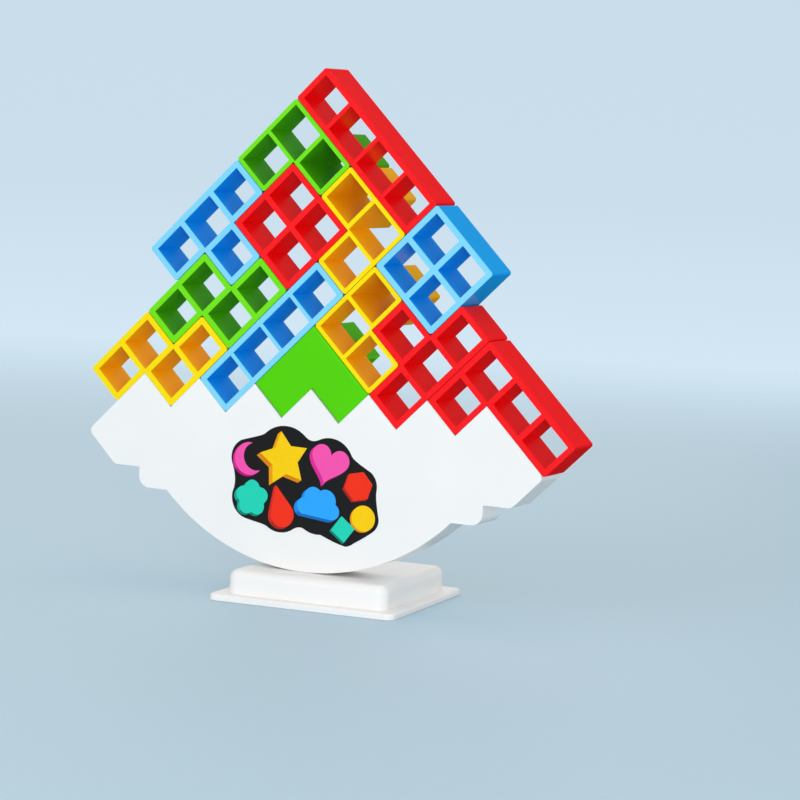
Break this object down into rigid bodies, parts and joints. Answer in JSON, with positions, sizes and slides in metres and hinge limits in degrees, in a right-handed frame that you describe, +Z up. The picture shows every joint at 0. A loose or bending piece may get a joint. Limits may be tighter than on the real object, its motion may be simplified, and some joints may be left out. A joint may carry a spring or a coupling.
{
  "type": "stacking balance game",
  "caption": "Coloured hollow cube blocks stacked on a white zig-zag rocker whose curved underside balances on a small square base",
  "frame": {"origin": "middle of the base's underside", "axes": "+X to the right seen from the front, +Y to the back, +Z up"},
  "size_m": [0.1792, 0.0706, 0.1766],
  "materials": {
    "white": "glossy",
    "red": "glossy",
    "blue": "glossy",
    "yellow": "glossy",
    "green": "glossy"
  },
  "bodies": {
    "root": {"base": "white", "rocker_shell": "white", "rocker_back_cover": "white", "red_bar_block": "red", "blue_bar_block": "blue", "red_square_block": "red", "blue_square_block": "blue", "blue_tee_block": "blue", "red_tee_block": "red", "green_step_block": "green", "yellow_step_block": "yellow", "red_corner_block": "red", "green_twist_block": "green", "upper_yellow_twist_block": "yellow", "lower_yellow_twist_block": "yellow", "green_tripod_block": "green"}
  },
  "joints": []
}
